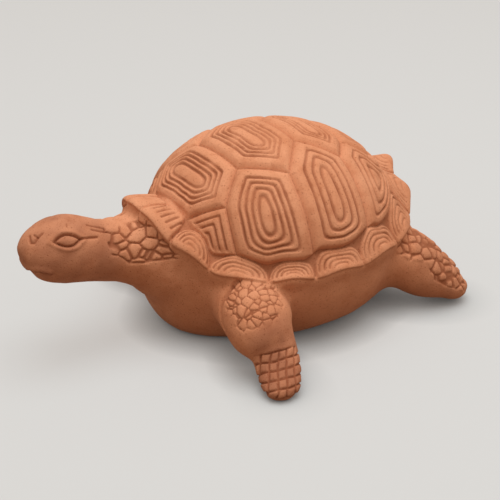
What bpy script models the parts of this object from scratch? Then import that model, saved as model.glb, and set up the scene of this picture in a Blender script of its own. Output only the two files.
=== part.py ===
"""Tortoise figurine, hand carved and fired as one piece of unglazed terracotta.

The shell is drawn flat as a map of scutes, carved there with growth rings, and then draped
over the dome and its flared lip. The bowl of the body hangs from that lip, and the neck and
head, four legs and tail are lofted and united with it, so the whole figure is one solid.
Metres, +X towards the head, +Y the animal's left side, +Z up, standing on Z = 0.
"""

from math import atan2, cos, hypot, pi, radians, sin

import bmesh
import bpy
import numpy as np
from mathutils import Vector

# Shell: the dome is half an ellipsoid, with its rim at the height of the costal scutes' feet
SHELL_HALF_LENGTH = 0.0745
SHELL_HALF_WIDTH = 0.0695
DOME_HEIGHT = 0.0555
DOME_RIM_HEIGHT = 0.052

# Angle down from the crown at which the marginal scutes begin, at the sides and at the ends
SIDE_EDGE_ANGLE = radians(84)
END_EDGE_ANGLE = radians(62)

# Marginal band and flared lip
BAND_AT_SIDE = 0.0125
BAND_AT_END = 0.021
LIP_FLARE_SIDE = 0.0055
LIP_FLARE_FRONT = 0.0130
LIP_FLARE_REAR = 0.0130
LIP_HEIGHT_SIDE = 0.0510
LIP_HEIGHT_FRONT = 0.0785
LIP_HEIGHT_REAR = 0.0710
LIP_THICKNESS = 0.0075
LIP_UNDERCUT = 0.0030
SCALLOP_DEPTH = 0.0038
FRONT_SCALLOP_SHARE = 0.15
EDGE_SCALLOP = radians(2.2)
FRONT_LIP_FULL = radians(10)
FRONT_LIP_END = radians(38)
REAR_LIP_FULL = radians(172)
REAR_LIP_END = radians(138)
REAR_FLARE_FULL = radians(165)
REAR_FLARE_END = radians(120)

# Scute corners measured over the shell from its crown, as ahead and aside of it
SHOULDER_CORNER = (0.0522, 0.0366)
V1_REAR_CORNER = (0.0330, 0.0205)
V2_SIDE_CORNER = (0.0123, 0.0390)
V2_REAR_CORNER = (-0.0032, 0.0180)
V3_SIDE_CORNER = (-0.0225, 0.0350)
V3_REAR_CORNER = (-0.0327, 0.0200)
V4_SIDE_CORNER = (-0.0530, 0.0270)
V4_REAR_CORNER = (-0.0600, 0.0150)

# Angles round the shell of the costal borders at its edge, and of the marginal borders
COSTAL_BORDERS = [radians(d) for d in (17, 44, 77, 108, 158)]
MARGINAL_BORDERS = [radians(d) for d in (5, 19, 34, 58, 77, 99, 120, 141, 160)]
MARGINAL_STEPS = 3

# Carving: raised plates with ring grooves
PLATE_HEIGHT = 0.0019
PLATE_WALL = 0.0020
PLATE_BORDER = 0.0048
SHOULDER_SCUTE_BORDER = 0.0020
GROOVE_DEPTH = 0.0012
GROOVE_WIDTH = 0.0018
RIDGE_WIDTH = 0.0014
COSTAL_RINGS = 4
MARGINAL_RINGS = 2
MARGINAL_BORDER = 0.0016
NUCHAL_BORDER = 0.0034
SCUTE_EDGE_STEP = 0.0120
CORE_SHARE = 0.35

# Body below the lip
BELLY_FLAT_HALF_LENGTH = 0.066
BELLY_FLAT_HALF_WIDTH = 0.038
BOWL_SECTIONS = 6

# Neck and head: distance ahead, height of the centre, half height, half width
NECK_AND_HEAD = [
    (0.0580, 0.0440, 0.0300, 0.0360),
    (0.0720, 0.0475, 0.0265, 0.0310),
    (0.0850, 0.0530, 0.0215, 0.0240),
    (0.0985, 0.0570, 0.0182, 0.0185),
    (0.1120, 0.0597, 0.0170, 0.0165),
    (0.1220, 0.0632, 0.0177, 0.0170),
    (0.1320, 0.0662, 0.0185, 0.0175),
    (0.1415, 0.0666, 0.0172, 0.0160),
    (0.1495, 0.0665, 0.0138, 0.0128),
    (0.1542, 0.0660, 0.0095, 0.0088),
    (0.1562, 0.0655, 0.0045, 0.0045),
]
EYE_CENTRE = (0.1360, 0.0128, 0.0770)
EYE_HALF_SIZE = (0.0070, 0.0035, 0.0034)
MOUTH_TIP = (0.1565, 0.0, 0.0580)
MOUTH_DEPTH = 0.0125
MOUTH_GAP = 0.0014
HEAD_CLEARANCE = 0.050

# Legs on the left side: centre of each section, half width, half thickness
FRONT_LEG = [
    ((0.0480, 0.0440, 0.0320), 0.0200, 0.0180),
    ((0.0510, 0.0600, 0.0300), 0.0205, 0.0185),
    ((0.0520, 0.0705, 0.0240), 0.0185, 0.0175),
    ((0.0495, 0.0790, 0.0150), 0.0140, 0.0120),
    ((0.0520, 0.0880, 0.0085), 0.0138, 0.0080),
    ((0.0570, 0.0965, 0.0055), 0.0120, 0.0058),
    ((0.0610, 0.1010, 0.0040), 0.0085, 0.0042),
]
REAR_LEG = [
    ((-0.0450, 0.0380, 0.0330), 0.0190, 0.0190),
    ((-0.0600, 0.0470, 0.0300), 0.0185, 0.0185),
    ((-0.0740, 0.0540, 0.0200), 0.0175, 0.0165),
    ((-0.0850, 0.0590, 0.0135), 0.0155, 0.0120),
    ((-0.0905, 0.0620, 0.0090), 0.0130, 0.0084),
    ((-0.0945, 0.0638, 0.0066), 0.0090, 0.0056),
]
TAIL = [
    ((-0.0600, 0.0, 0.0330), 0.0120, 0.0120),
    ((-0.0780, 0.0, 0.0270), 0.0085, 0.0085),
    ((-0.0880, 0.0, 0.0200), 0.0055, 0.0055),
    ((-0.0930, 0.0, 0.0150), 0.0028, 0.0028),
]
LIMB_SIDES = 16
LIMB_STEPS = 3

# Share of the band, on the flat map, at which the rolled lip ends on its underside
ROLL_END = 1.5

# The crown-to-rim distance over the dome for each radian down from the crown
ARC = (SHELL_HALF_LENGTH + DOME_HEIGHT) / 2


def smooth(value, start, end):
    """Ease from 0 at start to 1 at end."""
    t = min(max((value - start) / (end - start), 0.0), 1.0)
    return t * t * (3 - 2 * t)


def front_share(angle):
    """1 over the neck, falling to 0 where the front lip meets the side."""
    return smooth(abs(angle), FRONT_LIP_END, FRONT_LIP_FULL)


def rear_share(angle):
    """1 over the tail, falling to 0 where the rear lip meets the side."""
    return smooth(abs(angle), REAR_LIP_END, REAR_LIP_FULL)


def rear_flare_share(angle):
    """1 over the tail, falling to 0 where the rear lip stops flaring out."""
    return smooth(abs(angle), REAR_FLARE_END, REAR_FLARE_FULL)


def edge_angle(angle):
    """Angle down from the crown at which the marginal band begins."""
    level = SIDE_EDGE_ANGLE - (SIDE_EDGE_ANGLE - END_EDGE_ANGLE) * abs(cos(angle)) ** 3
    return level + EDGE_SCALLOP * (scallop(angle) - 0.5)


def band_width(angle):
    """Length of the marginal band from the dome to the lip."""
    return BAND_AT_SIDE + (BAND_AT_END - BAND_AT_SIDE) * abs(cos(angle)) ** 3


def scallop(angle):
    """1 at a border between two marginal scutes, 0 at the middle of one, and faint over the neck."""
    bounds = [-MARGINAL_BORDERS[0]] + MARGINAL_BORDERS + [2 * pi - MARGINAL_BORDERS[-1]]
    place = abs(angle)
    for low, high in zip(bounds, bounds[1:]):
        if low <= place <= high:
            wave = abs(2 * (place - low) / (high - low) - 1) ** 2.5
            side = smooth(place, FRONT_LIP_FULL, FRONT_LIP_END)
            return wave * (FRONT_SCALLOP_SHARE + (1 - FRONT_SCALLOP_SHARE) * side)
    return 0.0


def lip_point(angle):
    """Outermost edge of the lip."""
    flare = LIP_FLARE_SIDE
    flare += (LIP_FLARE_FRONT - LIP_FLARE_SIDE) * front_share(angle)
    flare += (LIP_FLARE_REAR - LIP_FLARE_SIDE) * rear_flare_share(angle)
    height = LIP_HEIGHT_SIDE - SCALLOP_DEPTH * scallop(angle)
    height += (LIP_HEIGHT_FRONT - LIP_HEIGHT_SIDE) * front_share(angle)
    height += (LIP_HEIGHT_REAR - LIP_HEIGHT_SIDE) * rear_share(angle)
    reach = 1 + flare / SHELL_HALF_WIDTH
    return Vector((SHELL_HALF_LENGTH * reach * cos(angle), SHELL_HALF_WIDTH * reach * sin(angle), height))


def under_point(angle):
    """Where the underside of the lip meets the bowl of the body."""
    edge = lip_point(angle)
    inward = Vector((edge.x, edge.y, 0)).normalized() * LIP_UNDERCUT
    return edge - inward - Vector((0, 0, LIP_THICKNESS))


def dome_point(down, angle):
    """Point on the dome, at an angle down from the crown."""
    return Vector((
        SHELL_HALF_LENGTH * sin(down) * cos(angle),
        SHELL_HALF_WIDTH * sin(down) * sin(angle),
        DOME_RIM_HEIGHT + DOME_HEIGHT * cos(down),
    ))


def bezier(start, middle, end, t):
    """Quadratic curve through two ends."""
    return start * (1 - t) ** 2 + middle * 2 * t * (1 - t) + end * t ** 2


def shell_point(ahead, aside):
    """Lay a point of the flat map on the dome, over the lip or under it."""
    reach = hypot(ahead, aside)
    angle = atan2(aside, ahead)
    edge = edge_angle(angle)
    if reach <= ARC * edge:
        return dome_point(reach / ARC, angle)
    band = band_width(angle)
    t = (reach - ARC * edge) / band
    lip = lip_point(angle)
    if t <= 1:
        foot = dome_point(edge, angle)
        slope = (foot - dome_point(edge - 0.02, angle)).normalized()
        return bezier(foot, foot + slope * band * 0.42, lip, t)
    under = under_point(angle)
    corner = Vector((lip.x, lip.y, (lip.z + under.z) / 2))
    return bezier(lip, corner, under, min((t - 1) / (ROLL_END - 1), 1.0))


def drape(vert):
    """Move a map vertex, whose height is its carved relief, to its place on the shell."""
    ahead, aside, lift = vert.co
    here = shell_point(ahead, aside)
    reach = hypot(ahead, aside)
    angle = atan2(aside, ahead)
    past = (reach - ARC * edge_angle(angle)) / band_width(angle)
    step = 0.0004
    along = shell_point(ahead + step, aside) - shell_point(ahead - step, aside)
    across = shell_point(ahead, aside + step) - shell_point(ahead, aside - step)
    normal = along.cross(across).normalized()
    vert.co = here + normal * lift * (1 - smooth(past, 0.93, 1.03))


def edge_samples():
    """Angles of the points shared by the costal and marginal scutes along the dome's edge."""
    samples = [0.0]
    bounds = [0.0] + MARGINAL_BORDERS + [pi]
    for low, high in zip(bounds, bounds[1:]):
        steps = 1 if low == 0 else MARGINAL_STEPS
        samples += [low + (high - low) * (i + 1) / steps for i in range(steps)]
    return samples


def on_edge(angle, past=0.0):
    """Map point on the dome's edge, or past it by a share of the band."""
    reach = ARC * edge_angle(angle) + band_width(angle) * past
    return (reach * cos(angle), reach * sin(angle))


def nearest(samples, angle):
    """The shared edge angle closest to the one asked for."""
    return min(samples, key=lambda s: abs(s - angle))


def edge_run(samples, start, end):
    """Map points along the dome's edge between two angles, both included."""
    low, high = sorted((start, end))
    run = [s for s in samples if low - 1e-6 <= s <= high + 1e-6]
    if start > end:
        run.reverse()
    return [on_edge(s) for s in run]


def divided(start, end):
    """Points from start up to, but not including, end."""
    length = hypot(end[0] - start[0], end[1] - start[1])
    steps = max(1, round(length / SCUTE_EDGE_STEP))
    shares = np.arange(steps)[:, None] / steps
    return [tuple(point) for point in np.array(start) * (1 - shares) + np.array(end) * shares]


def outline(corners):
    """Closed outline through corners, where a run of edge points is given as a list."""
    points = []
    for here, after in zip(corners, corners[1:] + corners[:1]):
        run = here if isinstance(here, list) else [here]
        follow = after[0] if isinstance(after, list) else after
        points += run[:-1] + divided(run[-1], follow)
    return points


def mirrored(corner):
    """The same corner on the right side."""
    return (corner[0], -corner[1])


def across(corners, front=None, rear=None):
    """Outline of a scute on the centre line, from its left corners front to rear."""
    left = list(corners)
    right = [mirrored(c) for c in reversed(corners)]
    nose = [[mirrored(p) for p in front[:0:-1]] + front] if front else []
    tail = [rear + [mirrored(p) for p in rear[-2::-1]]] if rear else []
    return outline(nose + left + tail + right)


def scute_outlines():
    """Outlines of the central scutes and of the marginal scutes on the flat map."""
    samples = edge_samples()
    nuchal, first, second, third, fourth = (nearest(samples, a) for a in COSTAL_BORDERS)
    a = on_edge(nuchal)
    b, c, d, e = SHOULDER_CORNER, V1_REAR_CORNER, V2_SIDE_CORNER, V2_REAR_CORNER
    f, g, h, i = V3_SIDE_CORNER, V3_REAR_CORNER, V4_SIDE_CORNER, V4_REAR_CORNER
    central = [
        across([b, c], front=edge_run(samples, 0, nuchal)),
        across([c, d, e]),
        across([e, f, g]),
        across([g, h, i]),
        across([i], rear=edge_run(samples, fourth, pi)),
    ]
    sides = [
        outline([edge_run(samples, nuchal, first), b]),
        outline([edge_run(samples, first, second), d, c, b]),
        outline([edge_run(samples, second, third), f, e, d]),
        outline([edge_run(samples, third, fourth), i, h, g, f]),
    ]
    bounds = MARGINAL_BORDERS + [pi]
    rims = []
    for low, high in zip(bounds, bounds[1:]):
        inner = edge_run(samples, low, high)
        outer = [on_edge(s, ROLL_END) for s in samples if low - 1e-6 <= s <= high + 1e-6]
        points = inner[:-1] + radial(high) + outer[-2:0:-1] + radial(low)[:0:-1]
        rims.append((points, low, high))
    low = MARGINAL_BORDERS[0]
    inner = edge_run(samples, 0, low)
    outer = [on_edge(s, ROLL_END) for s in samples if s <= low + 1e-6]
    half = inner[:-1] + radial(low) + outer[::-1][1:]
    middle = half + [mirrored(p) for p in half[-2:0:-1]]
    return central, sides, rims, middle


def core_line(points, share):
    """Short line through a scute's middle along its longer way."""
    places = np.array(points)
    middle = (places.min(axis=0) + places.max(axis=0)) / 2
    spread = places - places.mean(axis=0)
    _, _, ways = np.linalg.svd(spread)
    reach = np.abs(spread @ ways[0]).max() - np.abs(spread @ ways[1]).max() * (1 - share)
    half = max(reach, 0.0) * share
    return [tuple(middle - ways[0] * half), tuple(middle + ways[0] * half)]


def radial(angle):
    """Map points down a border between marginal scutes, from the dome's edge to under the lip."""
    return [on_edge(angle, past) for past in (0, 0.5, 1.0, (1 + ROLL_END) / 2, ROLL_END)]


def add_outline(bm, corners, points, tag, value):
    """Add one outline as a face that shares its corners with its neighbours."""
    verts = []
    for x, y in points:
        key = (round(x, 6), round(y, 6))
        if key not in corners:
            corners[key] = bm.verts.new((x, y, 0))
        verts.append(corners[key])
    face = bm.faces.new(verts)
    face.normal_update()
    if face.normal.z < 0:
        face.normal_flip()
    face[tag] = value


def carve(bm, tag, value, border, rings, core):
    """Raise one scute as a plate and cut ring grooves that close in on its core line."""
    face = next(f for f in bm.faces if f[tag] == value)
    outer = [Vector((v.co.x, v.co.y)) for v in face.verts]
    start, end = (Vector(p) for p in core)
    inner = [nearest_on_line(point, start, end) for point in outer]
    room = min(distance_between(start, end, one, two) for one, two in zip(outer, outer[1:] + outer[:1]))
    recipe = [(PLATE_WALL, PLATE_HEIGHT), (border, PLATE_HEIGHT)]
    low = PLATE_HEIGHT - GROOVE_DEPTH
    for _ in range(rings):
        recipe += [(GROOVE_WIDTH / 2, low), (GROOVE_WIDTH / 2, PLATE_HEIGHT), (RIDGE_WIDTH, PLATE_HEIGHT)]
    depth = 0.0
    for thickness, height in recipe[:-1] if rings else recipe:
        depth += thickness
        if depth > room * 0.95:
            return
        bmesh.ops.inset_individual(bm, faces=[face], thickness=thickness * 0.01)
        for vert, far, near in zip(face.verts, outer, inner):
            place = far.lerp(near, depth / room)
            vert.co = (place.x, place.y, height)


def nearest_on_line(point, start, end):
    """Closest point of the line from start to end."""
    along = end - start
    t = (point - start).dot(along) / max(along.length_squared, 1e-12)
    return start + along * min(max(t, 0.0), 1.0)


def distance_between(start, end, one, two):
    """Smallest distance between a core line and an edge of an outline."""
    gaps = [(nearest_on_line(p, one, two) - p).length for p in (start, end)]
    gaps += [(nearest_on_line(p, start, end) - p).length for p in (one, two)]
    return min(gaps)


def bowl_point(angle, rise):
    """Point on the body below the lip, at a share of the way up from the belly."""
    under = under_point(angle)
    top_reach = hypot(under.x / SHELL_HALF_LENGTH, under.y / SHELL_HALF_WIDTH)
    flat = 1 / hypot(
        cos(angle) * SHELL_HALF_LENGTH / BELLY_FLAT_HALF_LENGTH,
        sin(angle) * SHELL_HALF_WIDTH / BELLY_FLAT_HALF_WIDTH,
    )
    reach = flat + (top_reach - flat) * (1 - (1 - rise) ** 2) ** 0.5
    return Vector((
        SHELL_HALF_LENGTH * reach * cos(angle),
        SHELL_HALF_WIDTH * reach * sin(angle),
        under.z * rise,
    ))


def shell_and_body():
    """Carved shell, lip and bowl as one closed mesh."""
    bm = bmesh.new()
    tag = bm.faces.layers.int.new("scute")
    corners = {}
    central, sides, rims, middle = scute_outlines()
    plan = [(p, PLATE_BORDER, COSTAL_RINGS, core_line(p, CORE_SHARE)) for p in central]
    for points in sides:
        border = PLATE_BORDER if points is not sides[0] else SHOULDER_SCUTE_BORDER
        for side_points in (points, [mirrored(p) for p in points]):
            plan += [(side_points, border, COSTAL_RINGS, core_line(side_points, CORE_SHARE))]
    for points, low, high in rims:
        core = [on_edge((low * (1 - t) + high * t), 1.0) for t in (0.42, 0.58)]
        plan += [(points, MARGINAL_BORDER, MARGINAL_RINGS, core)]
        other = [mirrored(p) for p in points]
        plan += [(other, MARGINAL_BORDER, MARGINAL_RINGS, [mirrored(p) for p in core])]
    nose = [on_edge(0, past) for past in (0.4, 1.2)]
    plan += [(middle, NUCHAL_BORDER, 0, nose)]
    for number, (points, _, _, _) in enumerate(plan, 1):
        add_outline(bm, corners, points, tag, number)
    for number, (_, border, rings, core) in enumerate(plan, 1):
        carve(bm, tag, number, border, rings, core)
    for vert in bm.verts:
        drape(vert)
    rim = [edge for edge in bm.edges if edge.is_boundary]
    for section in range(1, BOWL_SECTIONS + 1):
        rise = (1 - section / BOWL_SECTIONS) ** 1.5
        made = bmesh.ops.extrude_edge_only(bm, edges=rim)["geom"]
        for vert in (v for v in made if isinstance(v, bmesh.types.BMVert)):
            angle = atan2(vert.co.y / SHELL_HALF_WIDTH, vert.co.x / SHELL_HALF_LENGTH)
            vert.co = bowl_point(angle, rise)
        rim = [e for e in made if isinstance(e, bmesh.types.BMEdge) and e.is_boundary]
    bmesh.ops.holes_fill(bm, edges=rim)
    bmesh.ops.recalc_face_normals(bm, faces=bm.faces[:])
    return bm


def between(stations, steps):
    """Pass a smooth curve through the stations, with extra ones between them."""
    rows = np.array([[*np.ravel(centre), wide, thick] for centre, wide, thick in stations])
    padded = np.vstack([2 * rows[0] - rows[1], rows, 2 * rows[-1] - rows[-2]])
    out = []
    for k in range(1, len(padded) - 2):
        p0, p1, p2, p3 = padded[k - 1:k + 3]
        for i in range(steps):
            t = i / steps
            out.append(0.5 * (2 * p1 + (p2 - p0) * t + (2 * p0 - 5 * p1 + 4 * p2 - p3) * t ** 2
                              + (3 * p1 - p0 - 3 * p2 + p3) * t ** 3))
    out.append(rows[-1])
    return np.array(out)


def loft(stations, steps=LIMB_STEPS, sides=LIMB_SIDES, floor=None):
    """Closed limb with oval sections square to its path."""
    rows = between(stations, steps)
    centres = rows[:, :3]
    paths = np.gradient(centres, axis=0)
    bm = bmesh.new()
    rings = []
    for centre, path, (wide, thick) in zip(centres, paths, rows[:, 3:]):
        along = Vector(path).normalized()
        side = Vector((0, 0, 1)).cross(along).normalized()
        lift = along.cross(side)
        ring = []
        for k in range(sides):
            turn = 2 * pi * k / sides
            point = Vector(centre) + side * wide * cos(turn) + lift * thick * sin(turn)
            if floor is not None:
                point.z = max(point.z, floor)
            ring.append(bm.verts.new(point))
        rings.append(ring)
    for low, high in zip(rings, rings[1:]):
        for k in range(sides):
            bm.faces.new((low[k], low[(k + 1) % sides], high[(k + 1) % sides], high[k]))
    bm.faces.new(rings[0][::-1])
    bm.faces.new(rings[-1])
    bmesh.ops.recalc_face_normals(bm, faces=bm.faces[:])
    return bm


def head_and_neck():
    """Neck and head as one loft along the centre line."""
    return loft([((x, 0, z), wide, high) for x, z, high, wide in NECK_AND_HEAD], sides=18)


def flip(stations):
    """The same stations on the other side of the body."""
    return [((x, -y, z), wide, thick) for (x, y, z), wide, thick in stations]


def ellipsoid(centre, half_size):
    """Low-detail egg shape for an eye."""
    bm = bmesh.new()
    bmesh.ops.create_uvsphere(bm, u_segments=12, v_segments=8, radius=1)
    bmesh.ops.scale(bm, vec=half_size, verts=bm.verts)
    bmesh.ops.translate(bm, vec=centre, verts=bm.verts)
    return bm


def mouth_cut():
    """Thin slot that opens the line of the mouth round the beak."""
    bm = bmesh.new()
    bmesh.ops.create_cube(bm, size=1)
    bmesh.ops.scale(bm, vec=(MOUTH_DEPTH * 2, HEAD_CLEARANCE, MOUTH_GAP), verts=bm.verts)
    bmesh.ops.translate(bm, vec=MOUTH_TIP, verts=bm.verts)
    return bm


def add_object(name, bm, collection):
    """Store a bmesh as an object."""
    mesh = bpy.data.meshes.new(name)
    bm.to_mesh(mesh)
    bm.free()
    obj = bpy.data.objects.new(name, mesh)
    collection.objects.link(obj)
    return obj


def terracotta():
    """Matt orange fired clay."""
    material = bpy.data.materials.new("terracotta")
    material.use_nodes = True
    shader = material.node_tree.nodes["Principled BSDF"]
    shader.inputs["Base Color"].default_value = (0.53, 0.21, 0.11, 1)
    shader.inputs["Roughness"].default_value = 0.9
    shader.inputs["Metallic"].default_value = 0.0
    return material


def build():
    for obj in list(bpy.data.objects):
        bpy.data.objects.remove(obj, do_unlink=True)
    scene = bpy.context.scene.collection
    figure = bpy.data.collections.new("turtle_figurine")
    helpers = bpy.data.collections.new("joined_forms")
    scene.children.link(figure)
    scene.children.link(helpers)

    turtle = add_object("turtle_figurine", shell_and_body(), figure)
    turtle.data.materials.append(terracotta())
    joined = {
        "neck_and_head": head_and_neck(),
        "front_leg_left": loft(FRONT_LEG, floor=0.0),
        "front_leg_right": loft(flip(FRONT_LEG), floor=0.0),
        "rear_leg_left": loft(REAR_LEG, floor=0.0),
        "rear_leg_right": loft(flip(REAR_LEG), floor=0.0),
        "tail": loft(TAIL),
        "eye_left": ellipsoid(EYE_CENTRE, EYE_HALF_SIZE),
        "eye_right": ellipsoid((EYE_CENTRE[0], -EYE_CENTRE[1], EYE_CENTRE[2]), EYE_HALF_SIZE),
    }
    for name, bm in joined.items():
        unite(turtle, add_object(name, bm, helpers), "UNION")
    unite(turtle, add_object("mouth", mouth_cut(), helpers), "DIFFERENCE")

    bpy.context.view_layer.update()
    shape = turtle.evaluated_get(bpy.context.evaluated_depsgraph_get())
    points = np.array([v.co[:] for v in shape.data.vertices])
    middle = (points.min(axis=0) + points.max(axis=0)) / 2
    turtle.location = (-middle[0], -middle[1], -points[:, 2].min())
    turtle.data.shade_smooth()
    turtle.data.set_sharp_from_angle(angle=radians(35))


def unite(base, other, operation):
    """Join a form to the base, or cut it out, and hide the form itself."""
    other.parent = base
    other.hide_render = True
    other.display_type = "WIRE"
    modifier = base.modifiers.new(other.name, "BOOLEAN")
    modifier.operation = operation
    modifier.solver = "EXACT"
    modifier.object = other


build()
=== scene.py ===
"""The look of the terracotta tortoise figurine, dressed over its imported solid."""

from math import cos, pi, radians, sin

import bpy
import numpy as np
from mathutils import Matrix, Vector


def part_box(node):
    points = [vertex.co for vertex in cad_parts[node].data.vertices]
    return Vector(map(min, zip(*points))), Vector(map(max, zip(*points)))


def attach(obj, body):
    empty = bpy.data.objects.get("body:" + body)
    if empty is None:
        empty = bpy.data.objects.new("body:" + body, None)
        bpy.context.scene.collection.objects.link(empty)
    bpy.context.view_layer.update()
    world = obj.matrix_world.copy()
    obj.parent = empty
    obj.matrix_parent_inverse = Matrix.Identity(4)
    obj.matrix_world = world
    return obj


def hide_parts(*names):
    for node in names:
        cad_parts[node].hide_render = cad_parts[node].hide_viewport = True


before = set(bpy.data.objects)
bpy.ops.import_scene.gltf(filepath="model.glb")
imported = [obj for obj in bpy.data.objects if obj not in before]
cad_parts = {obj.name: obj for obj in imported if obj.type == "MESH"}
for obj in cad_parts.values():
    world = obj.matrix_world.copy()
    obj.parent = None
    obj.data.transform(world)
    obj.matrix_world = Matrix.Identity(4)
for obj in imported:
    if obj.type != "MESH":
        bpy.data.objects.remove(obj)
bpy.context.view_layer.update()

# Shell, lip and bowl
# The body is one lump of red clay: a high dome, a lip flared out of it all round, and a bowl
# below that ends in a flat belly. Sizes are millimetres from under the shell's crown.
HALF_LENGTH, HALF_WIDTH, DOME_RISE, DOME_FOOT = 74.5, 69.5, 55.5, 52.0
ARC = (HALF_LENGTH + DOME_RISE) / 2
# Round from the head: how far down from the crown the dome gives way to the lip.
EDGE_PLACES = np.radians([
    0, 9, 17, 20, 26, 30, 33, 38, 44, 50, 57, 64,
    74, 80, 86, 92, 99, 108, 116, 126, 143, 158, 180,
])
EDGE_DROPS = np.radians([
    63.5, 64.3, 66.5, 70, 72.5, 76, 82.5, 82, 81, 83.5, 86.5, 84.5,
    85, 80, 81.5, 82.5, 81, 76.5, 80, 79, 72, 66, 62,
])
EDGE_SPREAD, SIDE_BAND, END_BAND = 1.6, 12.5, 21.0
# Round from the head: the lip's height, its reach in shell half sizes, and its thickness.
LIP_ANGLES = np.radians([0, 7, 11, 14, 18, 27, 36, 46, 120, 140, 155, 168, 180])
LIP_HEIGHTS = [82.2, 81.8, 79.5, 75.0, 69.0, 63.0, 54.0, 51.0, 50.5, 49.5, 56.0, 67.0, 72.5]
LIP_REACHES = [
    1.195, 1.195, 1.190, 1.180, 1.160, 1.115, 1.095, 1.090, 1.090, 1.120, 1.155, 1.145, 1.155,
]
LIP_THICKNESSES = [14.0, 14.0, 13.0, 12.0, 11.0, 10.0, 9.0, 8.0, 7.5, 8.0, 8.5, 9.0, 9.0]
LIP_UNDERCUT = 2.6
BELLY_HALF_LENGTH, BELLY_HALF_WIDTH = 66.0, 38.0
MARGINAL_BORDERS = np.radians([-5, 5, 19, 34, 58, 77, 100, 125, 149, 170, 190])
SCALLOP_DROP, SCALLOP_OUT, REAR_SCALLOP = 2.8, 1.2, 5.0
FRONT_SCALLOP_SHARE, FRONT_SCALLOP_ENDS, REAR_SCALLOP_STARTS = 0.15, (0.3, 0.7), (2.65, 2.9)


def ease(value, start, end):
    """0 at start, 1 at end, with a cubic step between."""
    t = np.clip((value - start) / (end - start), 0, 1)
    return t * t * (3 - 2 * t)


def through(value, places, heights, spread=4.0):
    """Soft curve through points: a running mean of straight runs, so many degrees to each side."""
    steps = np.radians(np.linspace(-spread, spread, 9))
    return np.mean([np.interp(np.abs(value + s), places, heights) for s in steps], axis=0)


def marginal_place(angle):
    """Which marginal scute an angle falls in, and how far across it, from -1 to 1."""
    number = np.searchsorted(MARGINAL_BORDERS, np.abs(angle)) - 1
    number = np.clip(number, 0, len(MARGINAL_BORDERS) - 2)
    low, high = MARGINAL_BORDERS[number], MARGINAL_BORDERS[number + 1]
    return number, 2 * (np.abs(angle) - low) / (high - low) - 1


def scallop(angle):
    """1 at a border between two marginal scutes, 0 at a scute's middle, faint over the neck."""
    wave = 0.5 - 0.5 * np.cos(pi * marginal_place(angle)[1])
    fading = ease(np.abs(angle), *FRONT_SCALLOP_ENDS)
    return wave * (FRONT_SCALLOP_SHARE + (1 - FRONT_SCALLOP_SHARE) * fading)


def edge_angle(angle):
    """Angle down from the crown where the dome gives way to the marginal scutes."""
    return through(np.abs(angle), EDGE_PLACES, EDGE_DROPS, EDGE_SPREAD)


def band_width(angle):
    """Length of the marginal band from the dome to the lip."""
    return SIDE_BAND + (END_BAND - SIDE_BAND) * np.abs(np.cos(angle)) ** 3


def round_shell(reach, angle, height):
    """Point at a share of the shell's half sizes, in the direction of an angle."""
    reach, angle, height = np.broadcast_arrays(reach, angle, height)
    ahead, aside = HALF_LENGTH * reach * np.cos(angle), HALF_WIDTH * reach * np.sin(angle)
    return np.stack([ahead, aside, height], -1)


def dome(down, angle):
    """Half an ellipsoid: sine of the angle down gives the reach, cosine the height."""
    return round_shell(np.sin(down), angle, DOME_FOOT + DOME_RISE * np.cos(down))


def lip(angle):
    """Outermost edge: reach and height go through named angles, with a scallop for each scute."""
    reach = through(np.abs(angle), LIP_ANGLES, LIP_REACHES)
    height = through(np.abs(angle), LIP_ANGLES, LIP_HEIGHTS)
    wave = scallop(angle)
    rear = ease(np.abs(angle), *REAR_SCALLOP_STARTS)
    out = SCALLOP_OUT + (REAR_SCALLOP - SCALLOP_OUT) * rear
    reach = reach + out * (0.5 - wave) / HALF_WIDTH
    return round_shell(reach, angle, height - SCALLOP_DROP * wave)


def under_lip(angle):
    """Where the underside of the lip meets the bowl: in and down from the edge."""
    edge = lip(angle)
    out = edge * [1, 1, 0]
    out /= np.linalg.norm(out, axis=-1, keepdims=True)
    thickness = through(np.abs(angle), LIP_ANGLES, LIP_THICKNESSES)
    return edge - out * LIP_UNDERCUT - thickness[..., None] * [0, 0, 1]


def bend(start, middle, end, t):
    """Quadratic curve between two ends, pulled to the middle."""
    return start * (1 - t) ** 2 + middle * 2 * t * (1 - t) + end * t ** 2


def spun_body(rows, around):
    """Grid of the whole body: dome, band, lip and bowl rows, each swept round by angle."""
    angle = np.linspace(0, 2 * pi, around, endpoint=False)
    angle = (angle + pi) % (2 * pi) - pi
    edge, band = edge_angle(angle), band_width(angle)
    foot, brink, under = dome(edge, angle), lip(angle), under_lip(angle)
    slope = foot - dome(edge - 0.02, angle)
    slope /= np.linalg.norm(slope, axis=-1, keepdims=True)
    grid = [dome(edge * t, angle) for t in np.linspace(0.01, 1, rows)]
    front = 1 - ease(np.abs(angle), 0.5, 0.9)[:, None]
    middle = foot + slope * band[:, None] * 0.42
    middle = middle * (1 - front) + ((foot + brink) / 2 + [0, 0, 2.0]) * front
    grid += [bend(foot, middle, brink, t) for t in np.linspace(0, 1, rows // 3)[1:]]
    corner = brink * [1, 1, 0] + (brink + under) * [0, 0, 0.5]
    grid += [bend(brink, corner, under, t) for t in np.linspace(0, 1, 7)[1:]]
    top = np.hypot(under[:, 0] / HALF_LENGTH, under[:, 1] / HALF_WIDTH)
    flat = 1 / np.hypot(np.cos(angle) * HALF_LENGTH / BELLY_HALF_LENGTH,
                        np.sin(angle) * HALF_WIDTH / BELLY_HALF_WIDTH)
    for rise in np.linspace(1, 0, rows // 2)[1:]:
        reach = flat + (top - flat) * np.sqrt(1 - (1 - rise) ** 2)
        grid.append(round_shell(reach, angle, under[:, 2] * rise))
    grid += [round_shell(flat * t, angle, 0.0) for t in (0.8, 0.5, 0.2, 0.01)]
    return np.array(grid)


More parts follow.
